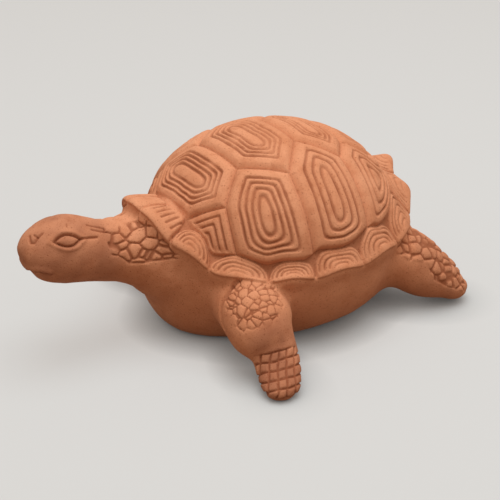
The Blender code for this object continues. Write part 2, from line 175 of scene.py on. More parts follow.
# Neck and head
# One thick roll of clay pulled forward from under the lip and rounded into a blunt head.
# Each station is distance ahead, height of the centre, half height and half width.
NECK_AND_HEAD = np.array([
    (34.0, 42.0, 26.0, 30.0),
    (58.0, 44.0, 30.0, 36.0),
    (72.0, 47.5, 26.5, 31.0),
    (85.0, 53.0, 21.5, 24.0),
    (98.5, 57.0, 18.2, 18.5),
    (112.0, 59.7, 17.0, 16.5),
    (122.0, 62.9, 18.0, 17.0),
    (132.0, 65.8, 18.9, 17.5),
    (141.5, 66.6, 17.2, 16.0),
    (149.5, 66.5, 13.8, 12.8),
    (154.2, 66.0, 9.5, 8.8),
    (156.2, 65.5, 4.5, 4.5),
])


def smooth_stations(stations, steps):
    """Curve through the stations: each point is a cubic blend of its four neighbours."""
    padded = np.vstack([2 * stations[0] - stations[1], stations, 2 * stations[-1] - stations[-2]])
    p0, p1, p2, p3 = (padded[i:len(padded) - 3 + i, None, :] for i in range(4))
    t = (np.arange(steps) / steps)[None, :, None]
    curve = 0.5 * (2 * p1 + (p2 - p0) * t + (2 * p0 - 5 * p1 + 4 * p2 - p3) * t ** 2
                   + (3 * p1 - p0 - 3 * p2 + p3) * t ** 3)
    return np.vstack([curve.reshape(-1, stations.shape[1]), stations[-1:]])


def loft(stations, around=48, steps=8):
    """Oval rings along a smooth path; stations are x, y, z, half width, half thickness."""
    rows = smooth_stations(np.asarray(stations, float), steps)
    side, lift = path_frames(rows[:, :3])
    turn = np.linspace(0, 2 * pi, around, endpoint=False)[None, :, None]
    wide, thick = rows[:, None, 3:4], rows[:, None, 4:5]
    ovals = rows[:, None, :3] + side[:, None] * wide * np.cos(turn)
    return ovals + lift[:, None] * thick * np.sin(turn)


def path_frames(centres):
    """Level side direction and upward direction square to a path at each of its points."""
    along = np.gradient(centres, axis=0)
    along /= np.linalg.norm(along, axis=1, keepdims=True)
    side = np.cross([0, 0, 1], along)
    side /= np.linalg.norm(side, axis=1, keepdims=True)
    return side, np.cross(along, side)


x, z, half_height, half_width = NECK_AND_HEAD.T
head_stations = np.stack([x, 0 * x, z, half_width, half_height], 1)

# Legs and tail
# Short rolls of clay pressed on under the lip: a ball of a shoulder that bends to a flat
# paddle of a foot in front, and a low paddle behind. The soles and the belly are flat.
FRONT_LEG = np.array([
    (47.0, 44.0, 32.0, 19.0, 18.0),
    (49.6, 60.0, 30.0, 19.6, 18.5),
    (51.2, 70.5, 24.0, 17.8, 17.2),
    (49.5, 79.0, 15.5, 13.2, 12.0),
    (51.8, 88.0, 9.0, 12.6, 8.6),
    (56.4, 96.5, 6.0, 10.9, 6.4),
    (59.6, 101.0, 4.6, 8.4, 4.8),
    (61.2, 103.6, 3.6, 5.2, 3.2),
    (61.8, 104.6, 3.0, 1.5, 1.0),
])
REAR_LEG = np.array([
    (-45.0, 38.0, 33.0, 19.0, 19.0),
    (-60.0, 47.0, 30.0, 18.5, 18.5),
    (-74.0, 54.0, 20.0, 17.5, 16.5),
    (-85.0, 59.0, 13.5, 15.5, 12.0),
    (-90.5, 62.2, 9.0, 13.0, 8.4),
    (-94.8, 64.0, 6.3, 8.8, 5.8),
    (-96.8, 64.8, 4.8, 5.0, 3.6),
    (-97.4, 65.0, 4.4, 1.5, 1.0),
])
TAIL = np.array([
    (-60.0, 0.0, 33.0, 12.0, 12.0),
    (-78.0, 0.0, 27.0, 8.5, 8.5),
    (-88.0, 0.0, 20.0, 5.5, 5.5),
    (-93.0, 0.0, 15.0, 2.8, 2.8),
])
OTHER_SIDE = np.array([1, -1, 1, 1, 1])

# Joining the clay
# The rolls are pressed together and the joins smoothed over with a finger, so every hollow
# crease is filled with a soft fillet while the outer edges stay as they are.
CLAY_GRAIN = 0.62
FINGER_ROUNDS, FINGER_SHARE, LAST_ROUNDS, LAST_SHARE = 70, 0.8, 8, 0.5
LIP_ROUNDS, LIP_SHARE, LIP_SOFT, LIP_FIRM = 26, 0.5, 3, 6
SHOULDER_JOINT, SHOULDER_KEPT, SHOULDER_FILLED = [51, 64, 28], 24, 36
SHELL_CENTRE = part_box("turtle_figurine")[1][0] * 1000 - NECK_AND_HEAD[-1, 0]


def grid_mesh(name, grids):
    """Mesh of closed grids: quads between the rows, and a fan at both ends of each grid."""
    points, quads, fans, start = [], [], [], 0
    for grid in grids:
        rows, around = grid.shape[:2]
        index = start + np.arange(rows * around).reshape(rows, around)
        after = np.roll(index, -1, axis=1)
        quads.append(np.stack([index[:-1], index[1:], after[1:], after[:-1]], -1).reshape(-1, 4))
        ends = start + rows * around + np.arange(2)
        fans.append(np.stack([index[0], after[0], np.full(around, ends[0])], -1))
        fans.append(np.stack([after[-1], index[-1], np.full(around, ends[1])], -1))
        points += [grid.reshape(-1, 3), grid[0].mean(0)[None], grid[-1].mean(0)[None]]
        start += rows * around + 2
    mesh = bpy.data.meshes.new(name)
    faces = np.vstack(quads).tolist() + np.vstack(fans).tolist()
    mesh.from_pydata((np.vstack(points) / 1000).tolist(), [], faces)
    mesh.validate()
    return mesh


def finished(obj):
    """Give an object the mesh that its modifiers make, and drop the modifiers."""
    made = obj.evaluated_get(bpy.context.evaluated_depsgraph_get())
    mesh = bpy.data.meshes.new_from_object(made)
    obj.modifiers.clear()
    obj.data = mesh


def places(mesh):
    """Vertex positions in millimetres as an array."""
    flat = np.empty(len(mesh.vertices) * 3)
    mesh.vertices.foreach_get("co", flat)
    return flat.reshape(-1, 3) * 1000


def directions(mesh):
    """Vertex normals as an array."""
    flat = np.empty(len(mesh.vertices) * 3)
    mesh.vertex_normals.foreach_get("vector", flat)
    return flat.reshape(-1, 3)


def put(mesh, points):
    """Write vertex positions, given in millimetres."""
    mesh.vertices.foreach_set("co", (points / 1000).ravel())
    mesh.update()


def links(mesh):
    """The two vertex numbers of every edge."""
    flat = np.empty(len(mesh.edges) * 2, dtype=np.int32)
    mesh.edges.foreach_get("vertices", flat)
    return flat.reshape(-1, 2)


def neighbour_mean(values, edges):
    """Mean of each vertex's neighbours, summed edge by edge."""
    first, second = edges.T
    count = np.bincount(edges.ravel(), minlength=len(values))[:, None]
    total = np.stack([
        np.bincount(first, column[second], len(values))
        + np.bincount(second, column[first], len(values)) for column in values.T
    ], 1)
    return total / count


def fill_creases(mesh, rounds, share):
    """Move each vertex towards its neighbours' mean, but only outwards, so hollows fill up."""
    edges = links(mesh)
    for _ in range(rounds):
        points, normals = places(mesh), directions(mesh)
        pull = ((neighbour_mean(points, edges) - points) * normals).sum(1, keepdims=True)
        put(mesh, points + normals * np.clip(pull, 0, None) * share)


def settle(mesh, rounds, share):
    """Move each vertex towards its neighbours' mean, which rounds off edges and hollows alike."""
    edges = links(mesh)
    points = places(mesh)
    for _ in range(rounds):
        points = points + (neighbour_mean(points, edges) - points) * share
    put(mesh, points)


def pressed(obj, grain):
    """Make one closed skin of all the forms, on a cubic grid, and smooth its steps away."""
    remesh = obj.modifiers.new("pressed_together", "REMESH")
    remesh.mode = "VOXEL"
    remesh.voxel_size = grain / 1000
    finished(obj)
    soften = obj.modifiers.new("smoothed_over", "SMOOTH")
    soften.factor = 0.5
    soften.iterations = 4
    finished(obj)


def round_angle(points):
    """Angle round the shell from the head: its tangent is the shares of half width and length."""
    return np.arctan2(points[:, 1] / HALF_WIDTH, points[:, 0] / HALF_LENGTH)


def left_side(points):
    """The same points, with those of the right side mirrored to the left."""
    return np.c_[points[:, 0], np.abs(points[:, 1]), points[:, 2]]


forms = [spun_body(120, 480), loft(head_stations, 72, 12)]
forms += [loft(leg * hand, 60, 10) for leg in (FRONT_LEG, REAR_LEG) for hand in (1, OTHER_SIDE)]
forms += [loft(TAIL, 32, 8)]
turtle = bpy.data.objects.new("turtle_clay", grid_mesh("turtle_clay", forms))
bpy.context.scene.collection.objects.link(turtle)
pressed(turtle, 2 * CLAY_GRAIN)
rough = places(turtle.data)
below_lip = lip(round_angle(rough))[:, 2] - rough[:, 2]
from_joint = np.linalg.norm(left_side(rough) - SHOULDER_JOINT, axis=1)
finger = FINGER_SHARE * ease(below_lip, 3, 8) * ease(from_joint, SHOULDER_KEPT, SHOULDER_FILLED)
fill_creases(turtle.data, FINGER_ROUNDS, finger[:, None])
pressed(turtle, CLAY_GRAIN)
fill_creases(turtle.data, LAST_ROUNDS, LAST_SHARE)
fine = places(turtle.data)
brink = lip(round_angle(fine))
aside = np.hypot(*(fine - brink)[:, :2].T)
from_brink = np.hypot(aside, fine[:, 2] - brink[:, 2] + 1)
settle(turtle.data, LIP_ROUNDS, LIP_SHARE * (1 - ease(from_brink, LIP_SOFT, LIP_FIRM))[:, None])

# Plates of the dome
# While the clay is leather-hard the borders of the big plates are pressed down with a wooden
# tool, and a loop tool draws rings inside each plate, parallel to its border.
PLATE_RISE, PLATE_WALL, PLATE_SWELL, SEAM_DEPTH, SHELL_SUNK = 2.3, 3.6, 0.5, 0.5, 0.8
SEAM_WIDTH, SEAM_PAINTED_SHADE = 0.8, 0.6
RING_BORDER, RING_CORE, RING_WIDTH, RING_DEPTH = 7.2, 2.3, 1.3, 1.35
CHEVRONS, CHEVRON_BORDER, CHEVRON_PITCH, CHEVRON_WIDTH = 3, 4.6, 3.9, 1.2
CHEVRON_WALL, CHEVRON_RISE_SHARE = 1.6, 0.6
SIDE_POWER, EDGE_POWER = 14.0, 7.0
EVEN_PRESSURE, PRESSURE_CHANGE = 0.88, 0.3
WANDER = ((0.20, 17, 1), (0.14, 5, 2))


def rim(degrees, reach=1.0):
    """Point of the flat map at the dome's edge: the mean radius times the angle down to it."""
    distance = ARC * float(edge_angle(np.radians(degrees))) * reach
    return distance * cos(radians(degrees)), distance * sin(radians(degrees))


def across(corner):
    """The same corner on the other side."""
    return corner[0], -corner[1]


# The seam between the plates on the spine and those beside them zigzags back from the head.
out1, in1, out2, in2 = (52.2, 36.6), (33.0, 20.5), (12.3, 39.0), (-3.2, 18.0)
out3, in3, out4, in4 = (-22.5, 35.0), (-32.7, 20.0), (-53.0, 27.0), (-60.0, 15.0)
# Each plate has its path of straight sides, the span of the dome's edge that closes it, and its
# number of rings: five on the spine from the head back, then four beside them.
PLATES = [
    ([across(in1), in1, out1, rim(17)], (17, -17), 4),
    ([across(in1), in1, out2, in2, across(in2)], None, 4),
    ([across(in2), in2, out3, in3, across(in3)], None, 3),
    ([across(in3), in3, out4, in4, across(in4)], None, 3),
    ([across(in4), in4, rim(158)], (158, 202), 2),
    ([rim(44), out1, rim(17)], (17, 44), 0),
    ([rim(77.5), out2, in1, out1, rim(44)], (44, 77.5), 4),
    ([rim(108), out3, in2, out2, rim(77.5)], (77.5, 108), 3),
    ([rim(158), in4, out4, in3, out3, rim(108)], (108, 158), 3),
]


def hashed(cells, seed):
    """Number from -1 to 1 for each lattice cell: its place mixed by large odd factors."""
    mixed = (cells @ np.array([374761393, 668265263, 1274126177]) + seed * 974634777) & 0xFFFFFFFF
    mixed = ((mixed ^ (mixed >> 13)) * 1103515245) & 0xFFFFFFFF
    return ((mixed ^ (mixed >> 16)) & 0xFFFF) / 32767.5 - 1


def uneven(points, size, seed=0):
    """Smooth unevenness from -1 to 1: hashed values at cube corners, blended by a cubic step."""
    cell = np.floor(points / size).astype(np.int64)
    part = points / size - cell
    part = part * part * (3 - 2 * part)
    total = 0
    for corner in np.ndindex(2, 2, 2):
        weight = np.prod(np.where(corner, part, 1 - part), axis=1)
        total = total + weight * hashed(cell + corner, seed)
    return total


def layered(points, layers):
    """Sum of layers of unevenness, each with its height, its size and its seed."""
    return sum(height * uneven(points, size, seed) for height, size, seed in layers)


def shell_place(points, normals):
    """Where each point lies on the shell: its angle, arc from the crown, arc left above the
    dome's edge, share of the marginal band crossed, and 1 where it is on the shell at all."""
    angle = round_angle(points)
    reach = np.hypot(points[:, 0] / HALF_LENGTH, points[:, 1] / HALF_WIDTH)
    height = (points[:, 2] - DOME_FOOT) / DOME_RISE
    down = np.arctan2(reach, height)
    edge, band = edge_angle(angle), band_width(angle)
    radius = np.hypot(HALF_LENGTH * np.cos(angle), HALF_WIDTH * np.sin(angle))
    brink = lip(angle)
    lip_reach = np.hypot(brink[:, 0] / HALF_LENGTH, brink[:, 1] / HALF_WIDTH)
    out = (reach - np.sin(edge)) * radius
    rise = points[:, 2] - DOME_FOOT - DOME_RISE * np.cos(edge)
    chord_out = (lip_reach - np.sin(edge)) * radius
    chord_rise = brink[:, 2] - DOME_FOOT - DOME_RISE * np.cos(edge)
    length = np.hypot(chord_out, chord_rise)
    crossed = (out * chord_out + rise * chord_rise) / length ** 2
    above = (rise * chord_out - out * chord_rise) / length
    outward = (normals[:, 0] * np.cos(angle) + normals[:, 1] * np.sin(angle))
    facing = (normals[:, 2] * chord_out - outward * chord_rise) / length
    on_dome = (down < edge) & (np.abs(np.hypot(reach, height) - 1) * ARC < 4)
    on_band = (down >= edge) * (1 - ease(np.abs(above), 3.5, 5)) * ease(facing, 0.1, 0.4)
    on_band = on_band * (1 - ease(crossed, 0.97, 1.05))
    on_shell = np.where(on_dome, 1, on_band)
    return angle, ARC * down, ARC * (edge - down), crossed, length, radius, on_shell


def within(polygon, ahead, aside):
    """True where a line drawn from the point crosses the outline an odd number of times."""
    inside = np.zeros(ahead.shape, bool)
    for (x1, y1), (x2, y2) in zip(polygon, polygon[1:] + polygon[:1]):
        spans = (y1 > aside) != (y2 > aside)
        crossing = x1 + (aside - y1) * (x2 - x1) / (y2 - y1 if y2 != y1 else 1)
        inside ^= spans & (ahead < crossing)
    return inside


def from_sides(path, ahead, aside, angle, stretch):
    """True distance to the nearest straight side: the map's distance, divided by how much the
    map stretches what lies across the slope in that direction. A high power mean of the sides
    stands in for the least of them, and so rounds the corners further in."""
    total = np.zeros(ahead.shape)
    for (x1, y1), (x2, y2) in zip(path, path[1:]):
        run = (x2 - x1) ** 2 + (y2 - y1) ** 2
        share = np.clip(((ahead - x1) * (x2 - x1) + (aside - y1) * (y2 - y1)) / run, 0, 1)
        dx, dy = ahead - x1 - share * (x2 - x1), aside - y1 - share * (y2 - y1)
        gap = np.hypot(dx, dy) + 1e-9
        along = (dx * np.cos(angle) + dy * np.sin(angle)) / gap
        turned = (dy * np.cos(angle) - dx * np.sin(angle)) / gap
        total += (gap / np.hypot(along, turned * stretch)) ** -SIDE_POWER
    return total ** (-1 / SIDE_POWER)


def bulge(depth, width):
    """Wall of a plate, 0 at the seam and 1 above: half a cubic step, half a quarter circle."""
    share = np.clip(depth / width, 0, 1)
    return 0.5 * ease(share, 0, 1) + 0.5 * np.sqrt(1 - (1 - share) ** 2)


def furrow(offset, half_width):
    """Rounded groove, 1 at its centre and 0 at its edges: half of one plus a cosine."""
    return 0.5 + 0.5 * np.cos(pi * np.clip(offset / half_width, -1, 1))


def rings(depth, first, pitch, count, half_width):
    """Evenly spaced furrows, counted inwards from the border."""
    number = np.clip(np.round((depth - first) / pitch), 0, count - 1)
    return furrow(depth - first - number * pitch, half_width)


def plate_relief(points, angle, arc, left):
    """Height of the plates over the dome, and the painted shade laid in their seams and furrows:
    a wall at the border, a slow swell behind it, and rings at equal steps down to the core.
    The distance to the border is a power mean of those to the sides and to the dome's edge."""
    bearing = np.abs(angle)
    ahead, aside = arc * np.cos(bearing), arc * np.sin(bearing)
    around = np.hypot(HALF_LENGTH * np.cos(bearing), HALF_WIDTH * np.sin(bearing))
    stretch = arc / np.maximum(around * np.sin(np.minimum(arc / ARC, pi / 2)), 1e-3)
    wander = layered(points, WANDER)
    height, painted_shade = np.zeros(len(points)), np.zeros(len(points))
    for path, span, count in PLATES:
        beyond = [rim(a, 1.4) for a in np.linspace(*span, 7)] if span else []
        inside = within(path + beyond, ahead, aside)
        depth = from_sides(path, ahead, aside, bearing, stretch)
        below = np.where(span is None, 1e9, left)
        nearest = (depth ** -EDGE_POWER + below ** -EDGE_POWER) ** (-1 / EDGE_POWER)
        inner = nearest + wander * ease(nearest, 2, 6)
        wall = bulge(nearest, PLATE_WALL if count else CHEVRON_WALL)
        wall = wall * (1 if count else CHEVRON_RISE_SHARE)
        swell = ease(nearest, 0.5, RING_BORDER)
        if count:
            pitch = (inner[inside].max() - RING_CORE - RING_BORDER) / (count - 1)
            drawn = rings(inner, RING_BORDER, pitch, count, RING_WIDTH)
        else:
            away = depth + wander
            drawn = rings(away, CHEVRON_BORDER, CHEVRON_PITCH, CHEVRONS, CHEVRON_WIDTH)
            drawn = drawn * ease(below, 1.5, 4)
        seam = 1 - ease(nearest, 0, SEAM_WIDTH)
        height += inside * (PLATE_RISE * wall + PLATE_SWELL * swell - SEAM_DEPTH * seam)
        # Painted shade along the seams and in the rings drawn inside each plate.
        painted_shade += inside * SEAM_PAINTED_SHADE * seam
        drawn = inside * drawn * (EVEN_PRESSURE + PRESSURE_CHANGE * uneven(points, 8, 3))
        height -= RING_DEPTH * drawn
        painted_shade += drawn
    return height, painted_shade


# Marginal plates
# The small plates on the flared lip are pillows of clay with the knife's arcs nested in them,
# open towards the rim; the ones beside the neck only have short straight cuts.
PILLOW, PILLOW_WALL, SQUARENESS = 2.2, 2.2, 3
ARC_DEPTH, ARC_WIDTH, ARC_STEP, OUTER_ARC, LAST_ARC = 1.0, 0.95, 0.19, 0.86, 3
TICK_PITCH, TICK_WIDTH, TICK_SPAN = 3.4, 1.0, 8.5


def marginal_relief(points, angle, crossed, length, radius):
    """Height over the marginal band and painted shade in its furrows: rounded squares shrinking
    to the lip's middle.
    """
    number, place = marginal_place(angle)
    spread = np.diff(MARGINAL_BORDERS)[number] / 2
    reach = np.hypot(points[:, 0] / HALF_LENGTH, points[:, 1] / HALF_WIDTH)
    half = radius * reach * spread
    size = np.abs(place) ** SQUARENESS + np.clip(1 - crossed, 0, 1) ** SQUARENESS
    size = size ** (1 / SQUARENESS) + 0.03 * uneven(points, 9, 4)
    depth = (1 - size) * (half + length) / 2
    seam = (1 - ease(depth, 0, 0.9)) * ease(1 - crossed, 0.0, 0.15)
    pillow = bulge(depth, PILLOW_WALL) * PILLOW - SEAM_DEPTH * seam
    step = np.clip(np.round((OUTER_ARC - size) / ARC_STEP), 0, LAST_ARC)
    arcs = furrow((OUTER_ARC - size - step * ARC_STEP) * (half + length) / 2, ARC_WIDTH)
    arcs = arcs * ease(1 - crossed, 0.10, 0.25) * (0.62 + 0.38 * ease(np.abs(place), 0.2, 0.6))
    ticks = furrow((place * half + TICK_PITCH / 2) % TICK_PITCH - TICK_PITCH / 2, TICK_WIDTH)
    ticks = ticks * ease(crossed, 0.22, 0.3)
    ticks = ticks * (1 - ease(crossed, 0.72, 0.8)) * (np.abs(place * half) < TICK_SPAN)
    painted_shade = np.where(number == 1, ticks, np.where(number == 0, 0, arcs))
    painted_shade *= 0.85 + 0.3 * uneven(points, 6, 5)
    # The arcs, ticks and seam are also returned as painted shade.
    return pillow - ARC_DEPTH * painted_shade, np.maximum(painted_shade, 0.75 * seam)


# Scales on the skin
# Neck, shoulders and feet are scored with a knife point: crazed cells on the neck and the
# shoulders, a net of square cuts on the front feet and round pebbles on the rear legs.
NECK_CELL, SHOULDER_CELL, PEBBLE_CELL = 6.6, 4.7, 6.4
NECK_STRETCH, RAGGED, CHIN_WIDTH, CHIN_DEPTH = [0.78, 1, 1], 1.2, 0.9, 0.9
SHOULDER_PATCH, PATCH_FULL, PATCH_END = [57, 69, 43], 14.5, 17
NET_PITCH, NET_WIDTH, NET_DEPTH, NET_SHAKE, NET_START = 4.8, 0.95, 1.3, 0.8, (28.0, 28.6)
NET_ROW, NET_COLUMN, NET_SLANT, NET_MIDDLE = 28.2, 1.4, 0.05, 28.7
CREASE_WIDTH, CREASE_DEPTH, CREASE_PAINTED_SHADE = 2.4, 1.8, 0.6
SHOULDER_CREASE = [
    (56, 54, 48), (61.5, 54, 44.5), (65.5, 54, 40.5), (68, 54.5, 36), (69, 56.5, 31), (69, 59, 26),
]
NECK_PATCH = ([79, 91, 102, 108.5, 114], [57.5, 56.2, 56.5, 62.5, 65.0])
REAR_PATCH = ([-99, -87, -75, -68, -65.5, -55, -50], [4, 10, 16.5, 22, 33, 35, 39])
FOOT_ALONG, FOOT_ACROSS = np.array([0.02, 0.51, -0.83]), np.array([-0.90, 0.42, -0.16])


def cells(points, size, seed):
    """Distance to the nearest crack: half the gap between a point's distances to the two
    nearest of the centres, one shaken centre standing in each cube of a lattice."""
    cube = np.floor(points / size).astype(np.int64)
    nearest, second = np.full(len(points), 9e9), np.full(len(points), 9e9)
    for step in np.ndindex(3, 3, 3):
        near = cube + np.array(step) - 1
        centre = np.stack([hashed(near, seed + k) for k in range(3)], 1) * 0.4 + 0.5
        gap = np.linalg.norm(points / size - near - centre, axis=1)
        second = np.minimum(second, np.maximum(nearest, gap))
        nearest = np.minimum(nearest, gap)
    return (second - nearest) * size / 2


def scored(points, patch, size, seed, width, depth, pillow):
    """Cracks cut between rounded cells, with painted shade in them, over a patch that fades at
    its edge.
    """
    height, painted_shade = np.zeros(len(points)), np.zeros(len(points))
    here = patch > 0.01
    gap = cells(points[here], size, seed)
    cut = (1 - ease(gap, width * 0.25, width)) * patch[here]
    height[here] = pillow * ease(gap, 0, size / 3) * patch[here] - depth * cut
    painted_shade[here] = cut
    return height, painted_shade


def hand_of(points):
    """Factors that turn what lies on the right side over to the left."""
    return np.where(points[:, 1:2] < 0, [1, -1, 1], [1, 1, 1])


def lines(place, offset, shake):
    """Parallel cuts a pitch apart, shaken off their places."""
    return furrow((place + shake - offset + NET_PITCH / 2) % NET_PITCH - NET_PITCH / 2, NET_WIDTH)


def skin_relief(points, normals, shell):
    """Height of all the scored patches and the painted shade in their cuts, each masked by its
    place on the animal.
    """
    left = left_side(points)
    x, y, z = left.T
    clear = 1 - ease(shell, 0, 0.2)
    stretched = points * NECK_STRETCH
    station, centre, high, wide = NECK_AND_HEAD.T
    up = (z - np.interp(x, station, centre)) / np.interp(x, station, high)
    oval = np.hypot(y / np.interp(x, station, wide), up)
    ragged = RAGGED * uneven(points, 5, 8)
    neck = clear * (1 - ease(np.abs(oval - 1), 0.12, 0.3)) * ease(x, 78, 80)
    neck = neck * (1 - ease(x + ragged, 111, 113))
    low = z - np.interp(x, *NECK_PATCH) + ragged * 0.6
    chin = furrow(low, CHIN_WIDTH) * neck
    neck = neck * ease(low, 0, 0.8) * ease(y + ragged, 4, 8)
    beyond = ease(np.hypot(x / HALF_LENGTH, y / HALF_WIDTH), 1.06, 1.10) * clear
    from_middle = np.linalg.norm(left - SHOULDER_PATCH, axis=1)
    shoulder = 1 - ease(from_middle + 2 * ragged, PATCH_FULL, PATCH_END)
    rear = (x < -48) * ease(z - np.interp(x, *REAR_PATCH) + ragged * 0.5, 0, 1.2) * (y > 30)
    along = left @ FOOT_ALONG
    sideways = left @ FOOT_ACROSS + NET_SLANT * (along - NET_MIDDLE)
    foot = ease(along + 0.9 * ragged, *NET_START) * (x > 20) * (y > 80)
    foot = foot * ease(z, 1.5, 3.0) * beyond
    rows = lines(along, NET_ROW, NET_SHAKE * uneven(points, 7, 9))
    columns = lines(sideways, NET_COLUMN, NET_SHAKE * uneven(points, 7, 10))
    net = np.maximum(rows, columns) * foot
    crease = furrow(from_path(left, normals * hand_of(points), SHOULDER_CREASE), CREASE_WIDTH)
    crease = crease * (x > 50) * (z < 50)
    height = -NET_DEPTH * net - CHIN_DEPTH * chin - CREASE_DEPTH * crease
    # Painted shade in the foot net, under the chin and along the shoulder crease.
    painted_shade = net + chin + CREASE_PAINTED_SHADE * crease
    for spots, patch, size, seed, width, depth, pillow in (
        (stretched, neck, NECK_CELL, 21, 0.55, 1.1, 0.35),
        (points, shoulder * beyond, SHOULDER_CELL, 31, 0.36, 0.7, 0.12),
        (points, rear * beyond, PEBBLE_CELL, 41, 0.75, 0.8, 0.5),
    ):
        rise, cut = scored(spots, patch, size, seed, width, depth, pillow)
        height, painted_shade = height + rise, painted_shade + cut
    return height, painted_shade


# Face
# Almond eyes are cut in with a knife and the balls left proud; a slit makes the mouth, and a
# few strokes crease the brow and the cheek.
EYE_CENTRE, EYE_HALF_LENGTH, EYE_HALF_HEIGHT = np.array([135.3, 13.1, 76.7]), 6.9, 3.3
EYE_TILT, EYE_UP, EYE_OUT, FACE_BEGINS = 0.14, 0.83, 0.55, 108
LID_RISE, LID_PLACE, LID_WIDTH, SLIT_DEPTH, BALL_RISE, BALL_SUNK = 0.55, 1.8, 1.5, 1.5, 0.5, 0.5
MOUTH_WIDTH, MOUTH_DEPTH, MOUTH_PAINTED_SHADE = 1.9, 2.2, 1.8
UPPER_LIP_UP, UPPER_LIP_WIDTH, UPPER_LIP_RISE, JAW_SET_BACK = 2.6, 2.8, 0.8, 1.2
NOSTRIL, NOSTRIL_WIDTH, NOSTRIL_DEPTH = [153.3, 5.5, 66.0], 1.8, 0.6
# Each stroke has its path, half its width and its depth.
STROKES = [
    ([(127.6, 14.4, 76.4), (122.5, 13.9, 75.6), (117.6, 12.9, 74.3)], 1.2, 1.1),
    ([(120.8, 7.6, 80.5), (116.0, 7.8, 78.6), (110.3, 7.7, 75.6)], 1.0, 0.8),
    ([(119.5, 10.0, 78.4), (114.6, 10.2, 76.0), (110.0, 9.6, 74.2)], 0.9, 0.7),
    ([(132.5, 6.8, 83.3), (133.0, 8.5, 82.3)], 0.7, 0.5),
]
BROW_CUT = [
    (151.2, 1.8, 78.3), (152.3, 5.0, 76.2), (151.0, 6.6, 76.6), (148.7, 5.9, 78.8),
    (145.8, 5.7, 80.5),
]
LEFT_STROKES = [
    (BROW_CUT, 1.1, 0.9),
    ([(149.5, 3.4, 79.4), (148.7, 5.9, 78.8)], 0.9, 0.7),
]
MOUTH = [
    (152.1, 0.0, 58.8), (152.4, 5.1, 60.5), (151.2, 8.3, 60.8), (148.9, 10.6, 60.5),
    (145.8, 11.8, 59.1),
]


def from_path(points, normals, path):
    """Distance along the skin to the nearest straight run between the path's points: what lies
    across the skin is left out of it, up to four millimetres."""
    least = np.full(len(points), 9e9)
    path = np.array(path, float)
    for start, end in zip(path, path[1:]):
        run = end - start
        share = np.clip((points - start) @ run / (run @ run), 0, 1)
        gap = points - start - share[:, None] * run
        through_skin = (gap * normals).sum(1)
        along = np.sqrt(np.maximum((gap ** 2).sum(1) - through_skin ** 2, 0))
        least = np.minimum(least, np.where(np.abs(through_skin) < 4, along, 9))
    return least


def face_relief(points, normals):
    """Height of the eyes, mouth and strokes, with painted shade in their cuts: the lids are
    two parabolas, the slit follows them, and all but the cuts on the forehead are the same on
    both sides."""
    height, painted_shade = np.zeros(len(points)), np.zeros(len(points))
    here = points[:, 0] > FACE_BEGINS
    hand = hand_of(points[here])
    near, facing = points[here] * hand, normals[here] * hand
    away = near - EYE_CENTRE
    ahead = away[:, 0]
    upward = EYE_UP * away[:, 2] - EYE_OUT * away[:, 1] - EYE_TILT * ahead
    lid = EYE_HALF_HEIGHT * (1 - (ahead / EYE_HALF_LENGTH) ** 2)
    lean = np.hypot(1, 2 * EYE_HALF_HEIGHT * ahead / EYE_HALF_LENGTH ** 2)
    outside = (np.abs(upward) - lid) / lean
    ball = np.clip(1 - np.abs(upward) / np.maximum(lid, 0.1), 0, 1)
    ball = ball * (np.abs(ahead) < EYE_HALF_LENGTH)
    seen = (np.abs(ahead) < 14) & (np.abs(upward) < 9)
    slit = furrow(outside, 1.0) * seen
    rise = LID_RISE * furrow(outside - LID_PLACE, LID_WIDTH) * seen - SLIT_DEPTH * slit
    rise = rise + BALL_RISE * np.sqrt(ball) - BALL_SUNK * (ball > 0)
    marks = slit
    for strokes, kept in ((STROKES, 1), (LEFT_STROKES, points[here, 1] > 0)):
        for path, width, depth in strokes:
            cut = furrow(from_path(near, facing, path), width) * kept
            rise, marks = rise - depth * cut, marks + cut
    mouth = furrow(from_path(near, facing, MOUTH), MOUTH_WIDTH)
    upper = furrow(from_path(near - [0, 0, UPPER_LIP_UP], facing, MOUTH), UPPER_LIP_WIDTH)
    jaw = ease(near[:, 0], 142, 150) * (1 - ease(near[:, 2], 59.4, 60.6))
    jaw = jaw * ease(near[:, 2], 51, 57)
    nostril = furrow(np.linalg.norm(near - NOSTRIL, axis=1), NOSTRIL_WIDTH)
    rise = rise + UPPER_LIP_RISE * upper - MOUTH_DEPTH * mouth
    height[here] = rise - JAW_SET_BACK * jaw - NOSTRIL_DEPTH * nostril
    # Painted shade in the eye slits, the strokes, the mouth under its upper lip and the nostrils.
    painted_shade[here] = marks + MOUTH_PAINTED_SHADE * mouth + 0.5 * nostril
    return height, painted_shade


def relief(points, normals):
    """All the carving together: height over the smooth clay, and painted shade in the furrows."""
    angle, arc, left, crossed, length, radius, shell = shell_place(points, normals)
    height, painted_shade = skin_relief(points, normals, shell)
    rise, cut = face_relief(points, normals)
    height, painted_shade = height + rise, painted_shade + cut
    dome_here, band_here = (left > 0) & (shell > 0), (left <= 0) & (shell > 0)
    rise, cut = plate_relief(points[dome_here], angle[dome_here], arc[dome_here], left[dome_here])
    height[dome_here] += (rise - SHELL_SUNK) * shell[dome_here]
    painted_shade[dome_here] += cut * shell[dome_here]
    values = [v[band_here] for v in (points, angle, crossed, length, radius)]
    rise, cut = marginal_relief(*values)
    height[band_here] += (rise - SHELL_SUNK) * shell[band_here]
    painted_shade[band_here] += cut * shell[band_here]
    return height, np.clip(painted_shade, 0, 1)


# Carving and firing
# The finished lump is cut, rubbed down and fired: the relief is laid along the skin's own
# directions with the slight lumps of hand work, and the soles are rubbed flat.
FACES_LEFT, SOLE = 196000, 0.05
HAND_LUMPS = ((0.30, 19, 11), (0.12, 6.5, 12), (0.05, 2.4, 13))
STAIN_PATCHES = ((0.35, 9, 14), (0.25, 3.5, 15))
HEAD_STAIN, FRONT_STAIN, REAR_STAIN = 1, 1.4, 0.6

